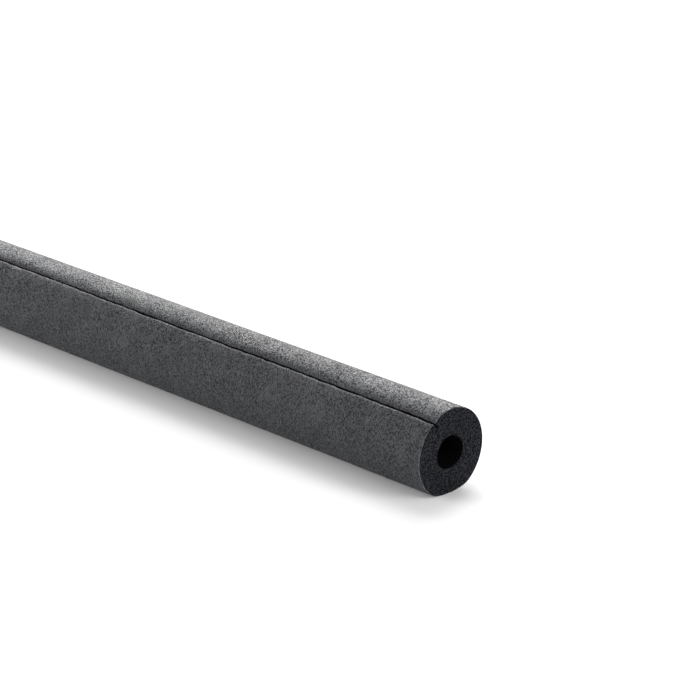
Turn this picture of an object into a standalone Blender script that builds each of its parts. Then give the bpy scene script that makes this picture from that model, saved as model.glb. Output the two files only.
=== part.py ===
"""Pipe insulation lagging: one length of closed-cell foam tube with a pre-cut slit.

Metres, +Z up. The tube lies along X on the plane Z = 0, with the origin below its middle.
"""

import math

import bmesh
import bpy
from mathutils import Matrix

# Sizes of the tube: a 13 mm wall round a 15 mm pipe, in the length that it is sold in
BORE_RADIUS = 0.0082
WALL = 0.013
OUTER_RADIUS = BORE_RADIUS + WALL
LENGTH = 1.0
END_ROUNDING = 0.0003

# Soft foam takes a set where it lies: the underside is nearer to the axis, on a larger radius
UNDERSIDE_DEPTH = 0.93 * OUTER_RADIUS
UNDERSIDE_RADIUS = 2.0 * OUTER_RADIUS

# The bore has taken a set too: a little wider than high. It is off centre, towards -Y and up
BORE_SQUASH = 0.00035
BORE_OFFSET_Y = -0.0010
BORE_OFFSET_Z = 0.0005

# Sizes of the pre-cut slit: a narrow cut that leans off the radius, into part of the wall
SLIT_DEPTH = 0.0039
SLIT_WIDTH = 0.0011
SLIT_LEAN = math.radians(10.0)

# The lip above the slit rolls down into it, and the lip below keeps a nearly square edge
UPPER_LIP_FALL = 0.00085
UPPER_LIP_REACH = 0.0041
LOWER_LIP_CHAMFER = 0.0003

# Where the slit runs: its angle up from +Y at the end at +X, and how far it drifts in a metre
SLIT_ANGLE = math.radians(122.9)
SLIT_DRIFT_PER_METRE = math.radians(18.5)

# Facets of the round faces
OUTER_SIDES = 72
BORE_SIDES = 48
ROUNDING_STEPS = 3
SLIT_STATIONS = 7
LIP_STEPS = 4

# How far a cutter runs past the face that it cuts
OVERSHOOT = 0.002

DOWN = -math.pi / 2


def section_radius(angle):
    """How far the skin is from the axis at an angle up from +Y: a circle, or the flatter arc below."""
    arc_rise = UNDERSIDE_RADIUS - UNDERSIDE_DEPTH
    along = arc_rise * math.cos(angle - DOWN)
    underside = math.sqrt(along**2 + UNDERSIDE_RADIUS**2 - arc_rise**2) - along
    return min(OUTER_RADIUS, underside)


def axis_height():
    """How high the axis lies when the middle of the lowest facet touches the ground."""
    half_facet = math.pi / OUTER_SIDES
    return section_radius(DOWN + half_facet) * math.cos(half_facet)


def clear_scene():
    for obj in list(bpy.data.objects):
        bpy.data.objects.remove(obj, do_unlink=True)


def foam_material():
    """Charcoal foam, dull all over."""
    material = bpy.data.materials.new("charcoal_foam")
    material.use_nodes = True
    shader = material.node_tree.nodes["Principled BSDF"]
    shader.inputs["Base Color"].default_value = (0.055, 0.056, 0.060, 1.0)
    shader.inputs["Roughness"].default_value = 0.85
    shader.inputs["Metallic"].default_value = 0.0
    return material


def link_mesh(name, bm):
    mesh = bpy.data.meshes.new(name)
    bm.to_mesh(mesh)
    bm.free()
    obj = bpy.data.objects.new(name, mesh)
    bpy.context.scene.collection.objects.link(obj)
    return obj


def foam_bar():
    """The tube's outer shape, extruded from its section, with its sawn outer edges softened."""
    bm = bmesh.new()
    ring = []
    for side in range(OUTER_SIDES):
        angle = DOWN + (side + 0.5) * math.tau / OUTER_SIDES
        radius = section_radius(angle)
        ring.append(bm.verts.new((-LENGTH / 2, radius * math.cos(angle), radius * math.sin(angle))))
    end_face = bm.faces.new(ring)
    extruded = bmesh.ops.extrude_face_region(bm, geom=[end_face])
    far_verts = [item for item in extruded["geom"] if isinstance(item, bmesh.types.BMVert)]
    bmesh.ops.translate(bm, vec=(LENGTH, 0.0, 0.0), verts=far_verts)
    bmesh.ops.recalc_face_normals(bm, faces=bm.faces)
    rim_edges = [edge for edge in bm.edges if abs(edge.verts[0].co.x - edge.verts[1].co.x) < LENGTH / 2]
    bmesh.ops.bevel(
        bm, geom=rim_edges, offset=END_ROUNDING, segments=ROUNDING_STEPS, profile=0.5, affect="EDGES"
    )
    return link_mesh("foam_tube", bm)


def bore_cutter():
    """A round bar through the tube, flattened by the bore's set."""
    bm = bmesh.new()
    length = LENGTH + 2 * OVERSHOOT
    bmesh.ops.create_cone(
        bm, cap_ends=True, segments=BORE_SIDES, radius1=BORE_RADIUS, radius2=BORE_RADIUS, depth=length
    )
    share = BORE_SQUASH / BORE_RADIUS
    squash = Matrix.Diagonal((1.0, 1.0 + share, 1.0 - share, 1.0))
    lie_along_x = Matrix.Rotation(math.pi / 2, 4, "Y")
    into_place = Matrix.Translation((0.0, BORE_OFFSET_Y, BORE_OFFSET_Z))
    bmesh.ops.transform(bm, matrix=into_place @ squash @ lie_along_x, verts=bm.verts)
    return link_mesh("bore_cutter", bm)


def slit_section():
    """The cutter's section as (distance round the tube towards the top, depth below the skin): a narrow
    leaning cut, the upper lip's soft roll and a small chamfer for the lower lip, carried on past the skin."""
    half_slit = SLIT_WIDTH / 2
    floor_shift = SLIT_DEPTH * math.tan(SLIT_LEAN)
    section = [(floor_shift + half_slit, SLIT_DEPTH)]
    for step in range(LIP_STEPS + 1):
        share = step / LIP_STEPS
        section.append((half_slit + share * UPPER_LIP_REACH, (1.0 - share) ** 2 * UPPER_LIP_FALL))
    section.append((half_slit + UPPER_LIP_REACH, -OVERSHOOT))
    section.append((-half_slit - LOWER_LIP_CHAMFER, -OVERSHOOT))
    section.append((-half_slit - LOWER_LIP_CHAMFER, 0.0))
    section.append((-half_slit, LOWER_LIP_CHAMFER))
    section.append((floor_shift - half_slit, SLIT_DEPTH))
    return section


def slit_cutter():
    """The slit's section, carried along the tube and turned slowly about its axis."""
    bm = bmesh.new()
    section = slit_section()
    run = LENGTH + 2 * OVERSHOOT
    rings = []
    for station in range(SLIT_STATIONS):
        x = run * (0.5 - station / (SLIT_STATIONS - 1))
        slit_angle = SLIT_ANGLE - SLIT_DRIFT_PER_METRE * (LENGTH / 2 - x)
        ring = []
        for across, depth in section:
            angle = slit_angle - across / OUTER_RADIUS
            radius = OUTER_RADIUS - depth
            ring.append(bm.verts.new((x, radius * math.cos(angle), radius * math.sin(angle))))
        rings.append(ring)
    for near, far in zip(rings, rings[1:]):
        for i in range(len(section)):
            j = (i + 1) % len(section)
            bm.faces.new((near[i], far[i], far[j], near[j]))
    bm.faces.new(rings[0])
    bm.faces.new(list(reversed(rings[-1])))
    bmesh.ops.triangulate(bm, faces=bm.faces)
    bmesh.ops.recalc_face_normals(bm, faces=bm.faces)
    return link_mesh("slit_cutter", bm)


def cut(obj, cutter):
    """Take the cutter's shape out of the object, and leave the cutter as a hidden guide."""
    modifier = obj.modifiers.new(cutter.name, "BOOLEAN")
    modifier.operation = "DIFFERENCE"
    modifier.solver = "EXACT"
    modifier.object = cutter
    cutter.parent = obj
    cutter.display_type = "WIRE"
    cutter.hide_render = True


def build_foam_tube():
    tube = foam_bar()
    tube.location.z = axis_height()
    tube.data.materials.append(foam_material())
    tube.data.shade_smooth()
    tube.data.set_sharp_from_angle(angle=math.radians(30.0))
    cut(tube, bore_cutter())
    cut(tube, slit_cutter())


clear_scene()
build_foam_tube()
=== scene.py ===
"""The looks of one length of pipe insulation lagging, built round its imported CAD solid.

Metres, +Z up, in the frame's own axes: the tube lies along X, with the end that faces the camera at +X.
An angle turns up from +Y about the tube's axis. Across is a distance round the tube from the slit's
middle towards the top, and a station is a place along the tube.
"""

import math
from collections import namedtuple

import bpy
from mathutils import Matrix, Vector, noise
from mathutils.geometry import delaunay_2d_cdt


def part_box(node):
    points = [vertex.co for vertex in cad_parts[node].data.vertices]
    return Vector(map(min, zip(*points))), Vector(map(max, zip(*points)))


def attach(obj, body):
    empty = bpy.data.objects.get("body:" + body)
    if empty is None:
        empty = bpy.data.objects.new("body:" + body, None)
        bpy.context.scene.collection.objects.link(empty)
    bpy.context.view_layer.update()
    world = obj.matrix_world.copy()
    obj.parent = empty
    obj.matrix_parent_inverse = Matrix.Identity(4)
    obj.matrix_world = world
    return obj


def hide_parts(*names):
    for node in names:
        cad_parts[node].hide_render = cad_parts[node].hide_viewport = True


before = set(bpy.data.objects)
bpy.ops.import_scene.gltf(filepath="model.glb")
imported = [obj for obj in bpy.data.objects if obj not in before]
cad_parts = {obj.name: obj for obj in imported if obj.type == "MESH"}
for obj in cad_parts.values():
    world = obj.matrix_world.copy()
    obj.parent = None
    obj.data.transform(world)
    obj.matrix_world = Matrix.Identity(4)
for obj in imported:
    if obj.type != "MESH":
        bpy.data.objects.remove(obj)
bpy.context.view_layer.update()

MM = 0.001

# The tube's sizes, from the frame
TUBE_NODE = "foam_tube"
LOW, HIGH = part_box(TUBE_NODE)
NEAR_END = HIGH.x
FAR_END = LOW.x
OUTER_RADIUS = (HIGH.y - LOW.y) / 2
AROUND = math.tau * OUTER_RADIUS
UNDERSIDE_DEPTH = (HIGH.z - LOW.z) - OUTER_RADIUS
UNDERSIDE_RADIUS = 2.0 * OUTER_RADIUS
UNDERSIDE_CORNER = 0.2 * MM
AXIS_HEIGHT = LOW.z + UNDERSIDE_DEPTH
DOWN = -math.pi / 2

# The bore and its place in the section, as in the solid: a little wider than high
BORE_RADIUS = 8.2 * MM
BORE_SQUASH = 0.35 * MM
BORE_OFFSET_Y = -1.0 * MM
BORE_OFFSET_Z = 0.5 * MM
BORE_OUT_OF_ROUND = 0.1 * MM
BORE_RIM_ROUNDING = 0.12 * MM

# The slit, as in the solid: its angle at the near end, and its drift along the tube
SLIT_ANGLE = math.radians(122.3)
SLIT_DRIFT_PER_METRE = math.radians(18.5)
SLIT_DEPTH = 3.9 * MM
SLIT_WIDTH = 1.1 * MM
SLIT_LEAN = math.radians(10.0)

# The slit's line turns down a little as it comes to the near end
SLIT_END_TURN = 0.45 * MM
SLIT_END_REACH = 8 * MM

# Waves along the tube, each as its share, its length and the seed that it is drawn from: how the cut
# wanders, how wide it stands open, and how evenly its two lips fall
SLIT_WANDER = 0.2 * MM
WANDER_WAVES = ((1.0, 60 * MM, 3.1), (0.5, 17 * MM, 7.7), (0.8, 7 * MM, 5.3), (0.9, 3.6 * MM, 9.9))
SLIT_GAPE = 0.06
GAPE_WAVES = ((0.1, 24 * MM, 11.0), (0.3, 4.4 * MM, 13.0))
GAPE_REACH = 2 * MM
UPPER_FALL_WAVES = ((0.15, 19 * MM, 15.0),)
LOWER_FALL_WAVES = ((0.5, 6 * MM, 19.0),)
WAVE_GAIN = 1.6

# The lip above the slit rolls down into it, and the lip below only dips at its edge
UPPER_LIP_FALL = 0.85 * MM
UPPER_LIP_REACH = 4.1 * MM
UPPER_LIP_CORNER = 0.12 * MM
LOWER_LIP_FALL = 0.2 * MM
LOWER_LIP_REACH = 1.6 * MM
LOWER_LIP_CORNER = 0.25 * MM
# Within this distance of the cut, the lower lip's edge takes a painted highlight
LOWER_LIP_HIGHLIGHT = 1.0 * MM

# Where the section has its columns of points: on the slit's walls, as shares of its depth, then on the
# two lips, as distances from the cut in millimetres, and between those evenly over the rest of the skin
WALL_SHARES = (1.0, 0.8, 0.6, 0.45)
UPPER_LIP_MM = (0.0, 0.05, 0.12, 0.25, 0.45, 0.7, 1.0, 1.35, 1.75, 2.2, 2.8, 3.5, 4.2, 5.4)
LOWER_LIP_MM = (2.8, 2.1, 1.6, 1.2, 0.85, 0.6, 0.42, 0.29, 0.19, 0.11, 0.05, 0.015, 0.0)
SKIN_START = 7.4 * MM
SKIN_STOP = AROUND - 4.8 * MM
SKIN_SPACING = 2.0 * MM

# How the sawn edge's rounding fades out beside the slit
UPPER_FADE_MM = 0.7
LOWER_FADE_MM = 0.6
WALL_EDGE_SHARE = 0.15

# Where the rings of points are along the tube
STATION_SPACING = 1.7 * MM
STATION_MARGIN = 1 * MM
BORE_COLUMNS = 72
BORE_STATION_SPACING = 12.5 * MM
BORE_STATION_MARGIN = 2 * MM

# The sawn ends: a rounded outer edge, and a broad shoulder that has sunk back a little
END_ROUNDING = 0.3 * MM
END_ROUNDING_STEPS = 4
END_SHOULDER = 0.2 * MM
END_SHOULDER_REACH = 3.5 * MM

# The points of a sawn face, in jittered rows that stay clear of its outline and of the bore
CAP_SPACING = 0.62 * MM
CAP_JITTER = 0.3 * CAP_SPACING
CAP_BORE_MARGIN = 0.5 * MM
CAP_OUTLINE_MARGIN = 0.25 * MM
CAP_SURELY_INSIDE = 5 * MM
CAP_TOLERANCE = 1e-8

# Soft unevenness in layers, each as its height, its width and a shift, and how far the surface that it
# is on has sunk
SKIN_LAYERS = ((0.05 * MM, 28 * MM, (0, 0, 0)), (0.035 * MM, 7 * MM, (5, 2, 9)))
SKIN_SINK = 0.05 * MM
CUT_LAYERS = ((0.06 * MM, 0.9 * MM, (0, 0, 0)), (0.04 * MM, 2.4 * MM, (3, 3, 3)))
CUT_SINK = 0.035 * MM
CUT_SEED_DEPTH = 3 * MM
BORE_UNEVENNESS = 0.08 * MM
BORE_WAVE = 18 * MM

# The skin's grain: pits at the cells, a fine grain that is longer round the tube than along it, and slow
# mottled tones. The heights are shares of the bump's depth
GRAIN_STRETCH = 2.5
SKIN_PITS = 0.6 * MM
SKIN_GRAIN = 0.36 * MM
SKIN_MOTTLE = 9 * MM
SKIN_PIT_HEIGHT = 0.15
SKIN_GRAIN_HEIGHT = 1.7
SKIN_MOTTLE_TONE = 0.25
SKIN_PIT_EDGE = (0.1, 0.45)
SKIN_TONES = (0.92, 1.22)
SKIN_SHEEN_TONES = (0.1, 0.9)
SKIN_BUMP = 3.6 * MM
DULL_IN_PITS = 1.0
DULL_ON_GRAIN = 0.41

# The sawn foam's open cells
CUT_CELLS = 1.1 * MM
CUT_GRAIN = 1.0 * MM
CUT_CELL_HEIGHT = 0.5
CUT_GRAIN_HEIGHT = 1.5
CUT_CELL_EDGE = (0.1, 0.5)
CUT_TONES = (1.08, 1.24)
CUT_BUMP = 3.6 * MM

# The bore's finer skin
BORE_GRAIN = 0.9 * MM
BORE_BUMP = 0.15 * MM

# Colours, dark in the cells and light between them; the dark in the cells is partly painted shade
# The skin's dark in its pits and hollows is partly its own tone and partly painted shade
SKIN_DARK, SKIN_LIGHT = (0.0105, 0.0108, 0.0118), (0.0825, 0.0858, 0.0935)
# A paler copy of the skin's colours: a painted highlight on the rounded sawn edges and on the lower lip's
# edge
HIGHLIGHT_DARK, HIGHLIGHT_LIGHT = (0.085, 0.087, 0.094), (0.21, 0.216, 0.232)
# The cut's cells are painted black as shade; the colour between them is the cut foam's own
CUT_PAINTED_CELL_SHADE, CUT_LIGHT = (0.0, 0.0, 0.0), (0.0298, 0.0322, 0.0415)
# The bore's colours are near black: painted shade for the deep bore
BORE_SHADE_DARK, BORE_SHADE_LIGHT = (0.0006, 0.0006, 0.0007), (0.0016, 0.0016, 0.0018)
# Near black for the slit's walls: painted shade, as they are out of the light
SLIT_PAINTED_SHADE = (0.003, 0.003, 0.0034)
FLOOR_COLOUR = (0.94, 0.94, 0.94)

# The order of the tube's materials; the bore's and the slit's are painted shade, near black, and the last is
# a painted highlight
SKIN, CUT, BORE_SHADE, SLIT_SHADE, PAINTED_HIGHLIGHT = range(5)

# Edges between faces that meet at more than this stay sharp
SHARP_ANGLE = math.radians(50)

# The floor reaches this far each way, past every view
FLOOR_REACH = 20.0

# The softboxes: name, place from the point that they face, width, height and watts
SOFTBOXES = (
    ("softbox_back_low", (-1.45, 1.5, 0.45), 3.0, 0.8, 83.0),
    ("softbox_back", (-1.3, 1.35, 0.95), 2.6, 0.7, 17.0),
    ("softbox_top", (-0.6, 0.7, 1.8), 1.4, 1.0, 20.0),
    ("softbox_left", (-1.3, -1.4, 0.9), 1.4, 1.2, 8.0),
    ("softbox_left_low", (-1.6, -1.5, 0.3), 1.6, 0.5, 62.0),
    ("softbox_right", (1.9, 0.1, 0.9), 1.4, 1.2, 33.0),
)
LIT_FROM_NEAR_END = 0.15
STUDIO_STRENGTH = 0.2

# The photograph's view: where the eye is from the middle of the near end, and where it looks
EYE_FROM_NEAR_END = Vector((0.7502, -0.8382, 0.4908))
VIEW_TURN = math.radians(44.126)
VIEW_DIP = math.radians(21.458)
LENS_MM = 141.43
SENSOR_MM = 36.0
VIEW_DEPTH = 50.0

# One column of the section: across, its depth below the skin, what it is part of, and how much of the
# sawn edge's rounding it takes
Column = namedtuple("Column", "across depth kind edge_share")


def clamp(t):
    return min(max(t, 0.0), 1.0)


def smooth(t):
    t = clamp(t)
    return t * t * (3 - 2 * t)


def wave(x, length, seed):
    """A smooth random wave along the tube, between about -1 and 1."""
    return noise.noise(Vector((x / length, seed, 0.5))) * WAVE_GAIN


def waves(x, parts):
    """Several waves along the tube, added up."""
    return sum(share * wave(x, length, seed) for share, length, seed in parts)


def unevenness(point, layers):
    """Several layers of soft random relief at a point, added up."""
    return sum(height * noise.noise(point / width + Vector(shift)) for height, width, shift in layers)


def section_radius(angle):
    """How far the skin is from the axis: a circle, meeting the flatter arc that the tube lies on
    in soft corners."""
    arc_rise = UNDERSIDE_RADIUS - UNDERSIDE_DEPTH
    along = arc_rise * math.cos(angle - DOWN)
    underside = math.sqrt(along**2 + UNDERSIDE_RADIUS**2 - arc_rise**2) - along
    gap = abs(underside - OUTER_RADIUS)
    softening = 0.5 * UNDERSIDE_CORNER * math.exp(-gap / UNDERSIDE_CORNER)
    return min(OUTER_RADIUS, underside) - softening


def slit_angle(x):
    """The slit's angle at a station: its steady drift, how the cut wanders, and its turn at the end."""
    drift = SLIT_DRIFT_PER_METRE * (NEAR_END - x)
    wander = SLIT_WANDER * waves(x, WANDER_WAVES)
    end_turn = SLIT_END_TURN * math.exp((x - NEAR_END) / SLIT_END_REACH)
    return SLIT_ANGLE - drift + (wander + end_turn) / OUTER_RADIUS


def corner_depth(distance, corner):
    """How far the surface has dropped round a lip's small corner, at a distance from the cut."""
    turn = 1 - clamp(distance / corner)
    return corner * (1 - math.sqrt(1 - turn * turn))


def lip_depth(distance, fall, reach, corner):
    """How far a lip has rolled down towards the slit, at a distance from the cut."""
    return fall * (1 - clamp(distance / reach)) ** 2 + corner_depth(distance, corner)


def upper_lip_distance(across):
    return across - SLIT_WIDTH / 2


def lower_lip_distance(across):
    return AROUND - across - SLIT_WIDTH / 2


def slit_columns():
    """The section's columns, from the slit's floor up its upper wall, round the tube and down its
    lower wall."""
    half = SLIT_WIDTH / 2
    lean = math.tan(SLIT_LEAN)
    wall_depths = [SLIT_DEPTH * share for share in WALL_SHARES]
    columns = []
    for depth in wall_depths:
        columns.append(Column(half + depth * lean, depth, "wall", WALL_EDGE_SHARE))
    for distance in UPPER_LIP_MM:
        columns.append(Column(half + distance * MM, 0.0, "upper", smooth(distance / UPPER_FADE_MM)))
    skin_steps = int((SKIN_STOP - SKIN_START) / SKIN_SPACING)
    for step in range(skin_steps + 1):
        across = SKIN_START + (SKIN_STOP - SKIN_START) * step / skin_steps
        columns.append(Column(across, 0.0, "skin", 1.0))
    for distance in LOWER_LIP_MM:
        across = AROUND - half - distance * MM
        columns.append(Column(across, 0.0, "lower", smooth(distance / LOWER_FADE_MM)))
    for depth in reversed(wall_depths):
        columns.append(Column(AROUND - half + depth * lean, depth, "wall", WALL_EDGE_SHARE))
    return columns


COLUMNS = slit_columns()


def gape_shift(x, across):
    """How far a column near the slit moves away from it where the cut stands open wider."""
    from_slit = across if across < AROUND / 2 else across - AROUND
    if abs(from_slit) >= GAPE_REACH:
        return 0.0
    opening = (SLIT_GAPE + waves(x, GAPE_WAVES)) * SLIT_WIDTH / 2
    return opening * math.copysign(1, from_slit) * (1 - abs(from_slit) / GAPE_REACH)


def column_depth(x, column):
    """How far below the skin a column is at a station."""
    if column.kind == "upper":
        fall = UPPER_LIP_FALL * (1 + waves(x, UPPER_FALL_WAVES))
        return lip_depth(upper_lip_distance(column.across), fall, UPPER_LIP_REACH, UPPER_LIP_CORNER)
    if column.kind == "lower":
        fall = LOWER_LIP_FALL * (1 + waves(x, LOWER_FALL_WAVES))
        return lip_depth(lower_lip_distance(column.across), fall, LOWER_LIP_REACH, LOWER_LIP_CORNER)
    return column.depth


def section_point(x, column):
    """How far from the axis, and at what angle, a column is at a station."""
    across = column.across + gape_shift(x, column.across)
    angle = slit_angle(x) - across / OUTER_RADIUS
    radius = section_radius(angle) - column_depth(x, column)
    if column.kind != "wall":
        here = Vector((x, radius * math.cos(angle), radius * math.sin(angle)))
        radius += unevenness(here, SKIN_LAYERS) - SKIN_SINK
    return radius, angle


def bore_point(angle):
    """The (y, z) point of the bore at an angle about its own middle, a little out of round."""
    out_of_round = BORE_OUT_OF_ROUND * math.cos(3 * angle + 1.0)
    half_width = BORE_RADIUS + BORE_SQUASH + out_of_round
    half_height = BORE_RADIUS - BORE_SQUASH + out_of_round
    return BORE_OFFSET_Y + half_width * math.cos(angle), BORE_OFFSET_Z + half_height * math.sin(angle)


def even_stations(start, stop, spacing):
    count = max(int(round((stop - start) / spacing)), 1)
    return [start + (stop - start) * i / count for i in range(count + 1)]


class TubeMesh:
    """Gathers the tube's points and faces, with the material of each face."""

    def __init__(self):
        self.points = []
        self.faces = []
        self.face_slots = []

    def add_point(self, x, y, z):
        """Add a point that is given from the axis, and return its number."""
        self.points.append((x, y, z + AXIS_HEIGHT))
        return len(self.points) - 1

    def add_face(self, corners, slot):
        self.faces.append(corners)
        self.face_slots.append(slot)

    def bridge(self, ring_a, ring_b, slots):
        count = len(ring_a)
        for i in range(count):
            j = (i + 1) % count
            self.add_face((ring_a[i], ring_b[i], ring_b[j], ring_a[j]), slots[i])

    def section_of(self, ring):
        """A ring's (y, z) points about the axis."""
        return [(self.points[i][1], self.points[i][2] - AXIS_HEIGHT) for i in ring]


def outer_stations():
    """(x, inset) of each ring of the skin, from the far end's face to the near end's."""
    rounding = []
    for step in range(END_ROUNDING_STEPS + 1):
        turn = 0.5 * math.pi * step / END_ROUNDING_STEPS
        rounding.append((END_ROUNDING * (1 - math.sin(turn)), END_ROUNDING * (1 - math.cos(turn))))
    far_edge = FAR_END + END_SHOULDER
    near_edge = NEAR_END - END_SHOULDER
    margin = END_ROUNDING + STATION_MARGIN
    body = even_stations(far_edge + margin, near_edge - margin, STATION_SPACING)
    far = [(far_edge + back, inset) for back, inset in reversed(rounding)]
    near = [(near_edge - back, inset) for back, inset in rounding]
    return far + [(x, 0.0) for x in body] + near


def outer_slots():
    """The material of each strip between one column and the next."""
    slots = []
    for column, following in zip(COLUMNS, COLUMNS[1:] + COLUMNS[:1]):
        # The slit's walls are painted near black as shade
        if "wall" in (column.kind, following.kind):
            slots.append(SLIT_SHADE)
        # The lower lip's edge, nearest the cut, takes a painted highlight
        elif column.kind == "lower" and lower_lip_distance(column.across) < LOWER_LIP_HIGHLIGHT:
            slots.append(PAINTED_HIGHLIGHT)
        else:
            slots.append(SKIN)
    return slots


def build_outer(mesh):
    """The skin and the slit's walls, as rings along the tube. Returns the rings at the two ends."""
    rings = []
    for x, inset in outer_stations():
        ring = []
        for column in COLUMNS:
            radius, angle = section_point(x, column)
            radius -= inset * column.edge_share
            ring.append(mesh.add_point(x, radius * math.cos(angle), radius * math.sin(angle)))
        rings.append(ring)
    slots = outer_slots()
    # The rounded edges at the sawn ends take a painted highlight, a paler copy of the skin
    highlight_slots = [PAINTED_HIGHLIGHT if slot == SKIN else slot for slot in slots]
    for i in range(len(rings) - 1):
        at_edge = i < END_ROUNDING_STEPS or i >= len(rings) - 1 - END_ROUNDING_STEPS
        mesh.bridge(rings[i], rings[i + 1], highlight_slots if at_edge else slots)
    return rings[0], rings[-1]


def build_bore(mesh):
    """The bore's wall, from the far face to the near face, with its rims just softened."""
    body = even_stations(FAR_END + BORE_STATION_MARGIN, NEAR_END - BORE_STATION_MARGIN, BORE_STATION_SPACING)
    r = BORE_RIM_ROUNDING
    far = [(FAR_END, r), (FAR_END + 0.3 * r, 0.3 * r), (FAR_END + r, 0.0)]
    near = [(NEAR_END - r, 0.0), (NEAR_END - 0.3 * r, 0.3 * r), (NEAR_END, r)]
    rings = []
    for x, flare in far + [(x, 0.0) for x in body] + near:
        ring = []
        for i in range(BORE_COLUMNS):
            angle = math.tau * i / BORE_COLUMNS
            y, z = bore_point(angle)
            where = Vector((x / BORE_WAVE, math.cos(angle), math.sin(angle)))
            out = flare + BORE_UNEVENNESS * noise.noise(where)
            ring.append(mesh.add_point(x, y + out * math.cos(angle), z + out * math.sin(angle)))
        rings.append(ring)
    for ring_a, ring_b in zip(rings, rings[1:]):
        # The bore's wall is painted near black as shade
        mesh.bridge(ring_a, ring_b, [BORE_SHADE] * BORE_COLUMNS)
    return rings[0], rings[-1]


def inside_margin(point, loop, margin):
    """Whether a point is inside a closed loop and further than the margin from its edges."""
    y, z = point
    inside = False
    for (y1, z1), (y2, z2) in zip(loop, loop[1:] + loop[:1]):
        edge_y, edge_z = y2 - y1, z2 - z1
        if (z1 > z) != (z2 > z) and y < edge_y * (z - z1) / edge_z + y1:
            inside = not inside
        length_squared = max(edge_y * edge_y + edge_z * edge_z, 1e-18)
        t = clamp(((y - y1) * edge_y + (z - z1) * edge_z) / length_squared)
        if math.hypot(y - y1 - t * edge_y, z - z1 - t * edge_z) < margin:
            return False
    return inside


def bore_reach(y, z):
    """How far a point is from the bore's middle, scaled so that the bore's edge is at its radius."""
    return BORE_RADIUS * math.hypot(
        (y - BORE_OFFSET_Y) / (BORE_RADIUS + BORE_SQUASH),
        (z - BORE_OFFSET_Z) / (BORE_RADIUS - BORE_SQUASH),
    )


def cap_spots(outline, outwards):
    """The (y, z) points inside a sawn end face."""
    row_spacing = CAP_SPACING * math.sqrt(0.75)
    rows = int(2 * OUTER_RADIUS / row_spacing) + 2
    steps = range(-rows // 2, rows // 2 + 1)
    spots = []
    for row in steps:
        for col in steps:
            y = (col + 0.5 * (row % 2)) * CAP_SPACING
            z = row * row_spacing
            y += CAP_JITTER * noise.noise(Vector((row * 1.7, col * 1.3, outwards)))
            z += CAP_JITTER * noise.noise(Vector((row * 1.1, col * 2.3, outwards + 7)))
            reach = math.hypot(y, z)
            if reach > OUTER_RADIUS or bore_reach(y, z) < BORE_RADIUS + CAP_BORE_MARGIN:
                continue
            surely_inside = reach < OUTER_RADIUS - CAP_SURELY_INSIDE
            if surely_inside or inside_margin((y, z), outline, CAP_OUTLINE_MARGIN):
                spots.append((y, z))
    return spots


def cap_relief(y, z, outwards):
    """How far a sawn face stands out at a point: the fine relief of cut foam, less the sunk shoulder."""
    relief = unevenness(Vector((outwards * CUT_SEED_DEPTH, y, z)), CUT_LAYERS) - CUT_SINK
    from_edge = section_radius(math.atan2(z, y)) - math.hypot(y, z)
    shoulder = END_SHOULDER * (1 - clamp(from_edge / END_SHOULDER_REACH)) ** 2
    return relief - shoulder


def loop_edges(first, count):
    """The edges of a closed loop of points that are numbered from first."""
    return [(first + i, first + (i + 1) % count) for i in range(count)]


def build_cap(mesh, outer_ring, bore_ring, x, outwards):
    """A sawn end face, between the skin's last ring and the bore's."""
    outline = mesh.section_of(outer_ring)
    hole = mesh.section_of(bore_ring)
    flat = [Vector(spot) for spot in outline + hole + cap_spots(outline, outwards)]
    edges = loop_edges(0, len(outline)) + loop_edges(len(outline), len(hole))
    verts, _, faces, sources, _, _ = delaunay_2d_cdt(flat, edges, [], 1, CAP_TOLERANCE)
    ring_points = outer_ring + bore_ring
    index = []
    for vert, source in zip(verts, sources):
        if source and source[0] < len(ring_points):
            index.append(ring_points[source[0]])
        else:
            here = x + cap_relief(vert.x, vert.y, outwards) * outwards
            index.append(mesh.add_point(here, vert.x, vert.y))
    bore_rim = set(bore_ring)
    for face in faces:
        corners = [index[i] for i in face]
        if bore_rim.issuperset(corners):
            continue
        if outwards < 0:
            corners.reverse()
        mesh.add_face(tuple(corners), CUT)


def new_material(name):
    """A material with its node tree and its shader."""
    material = bpy.data.materials.new(name)
    material.use_nodes = True
    tree = material.node_tree
    return material, tree, tree.nodes["Principled BSDF"]


def add_math(tree, operation, a, b=None):
    node = tree.nodes.new("ShaderNodeMath")
    node.operation = operation
    for socket, value in zip(node.inputs, (a, b)):
        if value is None:
            continue
        if isinstance(value, (int, float)):
            socket.default_value = value
        else:
            tree.links.new(value, socket)
    return node.outputs[0]


def add_range(tree, value, from_low, from_high, to_low, to_high):
    node = tree.nodes.new("ShaderNodeMapRange")
    node.inputs["From Min"].default_value = from_low
    node.inputs["From Max"].default_value = from_high
    node.inputs["To Min"].default_value = to_low
    node.inputs["To Max"].default_value = to_high
    tree.links.new(value, node.inputs["Value"])
    return node.outputs["Result"]


def add_colour_mix(tree, share, dark, light):
    node = tree.nodes.new("ShaderNodeMix")
    node.data_type = "RGBA"
    node.inputs["A"].default_value = (*dark, 1.0)
    node.inputs["B"].default_value = (*light, 1.0)
    tree.links.new(share, node.inputs["Factor"])
    return node.outputs["Result"]


def add_bump(tree, shader, height, distance):
    node = tree.nodes.new("ShaderNodeBump")
    node.inputs["Distance"].default_value = distance
    node.inputs["Strength"].default_value = 1.0
    tree.links.new(height, node.inputs["Height"])
    tree.links.new(node.outputs["Normal"], shader.inputs["Normal"])


def foam_coordinates(tree):
    """Places in the foam itself, in metres."""
    return tree.nodes.new("ShaderNodeTexCoord").outputs["Object"]


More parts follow.
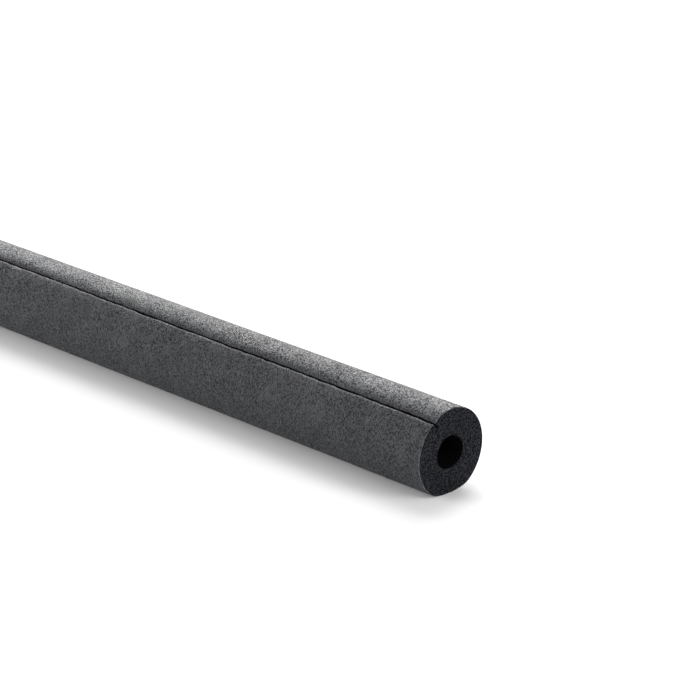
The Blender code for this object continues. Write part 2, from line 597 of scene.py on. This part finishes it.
def skin_coordinates(tree):
    """Places on the skin: along the tube, round it and out from its axis. Round the tube they run
    slower, which draws the grain out that way."""
    split = tree.nodes.new("ShaderNodeSeparateXYZ")
    tree.links.new(foam_coordinates(tree), split.inputs[0])
    y = split.outputs["Y"]
    z = add_math(tree, "SUBTRACT", split.outputs["Z"], AXIS_HEIGHT)
    angle = add_math(tree, "ARCTAN2", y, z)
    squares = add_math(tree, "ADD", add_math(tree, "POWER", y, 2.0), add_math(tree, "POWER", z, 2.0))
    join = tree.nodes.new("ShaderNodeCombineXYZ")
    tree.links.new(split.outputs["X"], join.inputs["X"])
    tree.links.new(add_math(tree, "MULTIPLY", angle, OUTER_RADIUS / GRAIN_STRETCH), join.inputs["Y"])
    tree.links.new(add_math(tree, "SQRT", squares), join.inputs["Z"])
    return join.outputs[0]


def add_noise(tree, place, size, detail, roughness=0.5):
    """A noise pattern whose grains are about as large as size."""
    node = tree.nodes.new("ShaderNodeTexNoise")
    node.inputs["Scale"].default_value = 1.0 / size
    node.inputs["Detail"].default_value = detail
    node.inputs["Roughness"].default_value = roughness
    tree.links.new(place, node.inputs["Vector"])
    return node.outputs["Fac"]


def add_cells(tree, place, size, middle, edge):
    """Foam cells about as large as size: 0 up to the middle distance in each, and 1 from its edge."""
    node = tree.nodes.new("ShaderNodeTexVoronoi")
    node.inputs["Scale"].default_value = 1.0 / size
    tree.links.new(place, node.inputs["Vector"])
    return add_range(tree, node.outputs["Distance"], middle, edge, 0.0, 1.0)


def add_height(tree, cells, cell_height, grain, grain_height):
    """The relief of cells and grain together."""
    cells = add_math(tree, "MULTIPLY", cells, cell_height)
    grain = add_math(tree, "MULTIPLY", grain, grain_height)
    return add_math(tree, "ADD", cells, grain)


def skin_material(name, dark, light):
    """The extruded skin: a fine dull grain, with a small dark pit at each cell; the dark in the pits and
    hollows is partly the skin's own tone and partly painted shade. Also used, in paler colours, for a
    painted highlight.
    """
    material, tree, shader = new_material(name)
    place = skin_coordinates(tree)
    pits = add_cells(tree, place, SKIN_PITS, *SKIN_PIT_EDGE)
    grain = add_noise(tree, place, SKIN_GRAIN, 1.0)
    mottle = add_noise(tree, place, SKIN_MOTTLE, 3.0, 0.55)
    height = add_height(tree, pits, SKIN_PIT_HEIGHT, grain, SKIN_GRAIN_HEIGHT)
    tone = add_math(tree, "ADD", height, add_math(tree, "MULTIPLY", mottle, SKIN_MOTTLE_TONE))
    tone = add_range(tree, tone, *SKIN_TONES, 0.0, 1.0)
    colour = add_colour_mix(tree, tone, dark, light)
    roughness = add_range(tree, tone, *SKIN_SHEEN_TONES, DULL_IN_PITS, DULL_ON_GRAIN)
    tree.links.new(colour, shader.inputs["Base Color"])
    tree.links.new(roughness, shader.inputs["Roughness"])
    shader.inputs["Specular IOR Level"].default_value = 0.3
    add_bump(tree, shader, height, SKIN_BUMP)
    return material


def cut_material():
    """Sawn foam: its open cells are painted black as shade, and the cut foam's own colour lies between them.
    """
    material, tree, shader = new_material("foam_cut")
    place = foam_coordinates(tree)
    cells = add_cells(tree, place, CUT_CELLS, *CUT_CELL_EDGE)
    grain = add_noise(tree, place, CUT_GRAIN, 1.0)
    height = add_height(tree, cells, CUT_CELL_HEIGHT, grain, CUT_GRAIN_HEIGHT)
    tone = add_range(tree, height, *CUT_TONES, 0.0, 1.0)
    colour = add_colour_mix(tree, tone, CUT_PAINTED_CELL_SHADE, CUT_LIGHT)
    tree.links.new(colour, shader.inputs["Base Color"])
    shader.inputs["Roughness"].default_value = 0.9
    shader.inputs["Specular IOR Level"].default_value = 0.15
    add_bump(tree, shader, height, CUT_BUMP)
    return material


def bore_material():
    """The bore's inner skin, smoother than the cut, painted near black as shade."""
    material, tree, shader = new_material("foam_bore_painted_shade")
    grain = add_noise(tree, foam_coordinates(tree), BORE_GRAIN, 2.0)
    colour = add_colour_mix(tree, grain, BORE_SHADE_DARK, BORE_SHADE_LIGHT)
    tree.links.new(colour, shader.inputs["Base Color"])
    shader.inputs["Roughness"].default_value = 0.85
    shader.inputs["Specular IOR Level"].default_value = 0.1
    add_bump(tree, shader, grain, BORE_BUMP)
    return material


def plain_material(name, colour, roughness, specular):
    """One even colour, for the floor and for the slit's walls, which are out of the light and are painted
    near black as shade.
    """
    material, _, shader = new_material(name)
    shader.inputs["Base Color"].default_value = (*colour, 1.0)
    shader.inputs["Roughness"].default_value = roughness
    shader.inputs["Specular IOR Level"].default_value = specular
    return material


def link_mesh(name, points, faces):
    data = bpy.data.meshes.new(name)
    data.from_pydata(points, [], faces)
    obj = bpy.data.objects.new(name, data)
    bpy.context.scene.collection.objects.link(obj)
    return obj


def build_tube():
    """The whole tube as one closed mesh, which takes the place of its plain solid."""
    mesh = TubeMesh()
    far_outer, near_outer = build_outer(mesh)
    far_bore, near_bore = build_bore(mesh)
    build_cap(mesh, far_outer, far_bore, FAR_END, -1.0)
    build_cap(mesh, near_outer, near_bore, NEAR_END, 1.0)
    tube = link_mesh("foam_tube_body", mesh.points, mesh.faces)
    tube.data.materials.append(skin_material("foam_skin", SKIN_DARK, SKIN_LIGHT))
    tube.data.materials.append(cut_material())
    # The bore's material is painted shade, near black
    tube.data.materials.append(bore_material())
    # The slit's walls, painted near black as shade
    tube.data.materials.append(plain_material("foam_slit_painted_shade", SLIT_PAINTED_SHADE, 0.95, 0.05))
    # A paler copy of the skin, as a painted highlight on the edges
    tube.data.materials.append(skin_material("foam_edge_painted_highlight", HIGHLIGHT_DARK, HIGHLIGHT_LIGHT))
    tube.data.polygons.foreach_set("material_index", mesh.face_slots)
    tube.data.shade_smooth()
    tube.data.set_sharp_from_angle(angle=SHARP_ANGLE)
    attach(tube, "root")
    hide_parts(TUBE_NODE)


def build_floor():
    """A plain pale floor, large enough to fill the view."""
    reach = FLOOR_REACH
    corners = [(-reach, -reach, 0), (reach, -reach, 0), (reach, reach, 0), (-reach, reach, 0)]
    floor = link_mesh("floor", corners, [(0, 1, 2, 3)])
    floor.data.materials.append(plain_material("pale_floor", FLOOR_COLOUR, 0.9, 0.1))


def add_softbox(name, place, target, width, height, watts):
    """A rectangular softbox that faces its target."""
    data = bpy.data.lights.new(name, "AREA")
    data.shape = "RECTANGLE"
    data.size = width
    data.size_y = height
    data.energy = watts
    light = bpy.data.objects.new(name, data)
    light.location = place
    light.rotation_euler = (target - place).to_track_quat("-Z", "Y").to_euler()
    bpy.context.scene.collection.objects.link(light)


def light_studio():
    """Soft light from behind, above and the left, with an even dim surround."""
    target = Vector((NEAR_END - LIT_FROM_NEAR_END, 0.0, AXIS_HEIGHT))
    for name, offset, width, height, watts in SOFTBOXES:
        add_softbox(name, target + Vector(offset), target, width, height, watts)
    world = bpy.data.worlds.new("studio")
    world.use_nodes = True
    background = world.node_tree.nodes["Background"]
    background.inputs["Color"].default_value = (1.0, 1.0, 1.0, 1.0)
    background.inputs["Strength"].default_value = STUDIO_STRENGTH
    bpy.context.scene.world = world


def place_camera():
    """The photograph's view, on to the near end."""
    data = bpy.data.cameras.new("camera")
    data.sensor_width = SENSOR_MM
    data.lens = LENS_MM
    data.clip_end = VIEW_DEPTH
    camera = bpy.data.objects.new("camera", data)
    camera.location = Vector((NEAR_END - END_SHOULDER, 0.0, AXIS_HEIGHT)) + EYE_FROM_NEAR_END
    camera.rotation_euler = (math.pi / 2 - VIEW_DIP, 0.0, VIEW_TURN)
    bpy.context.scene.collection.objects.link(camera)
    bpy.context.scene.camera = camera


place_camera()
build_tube()
build_floor()
light_studio()
bpy.context.scene.view_settings.view_transform = "Standard"
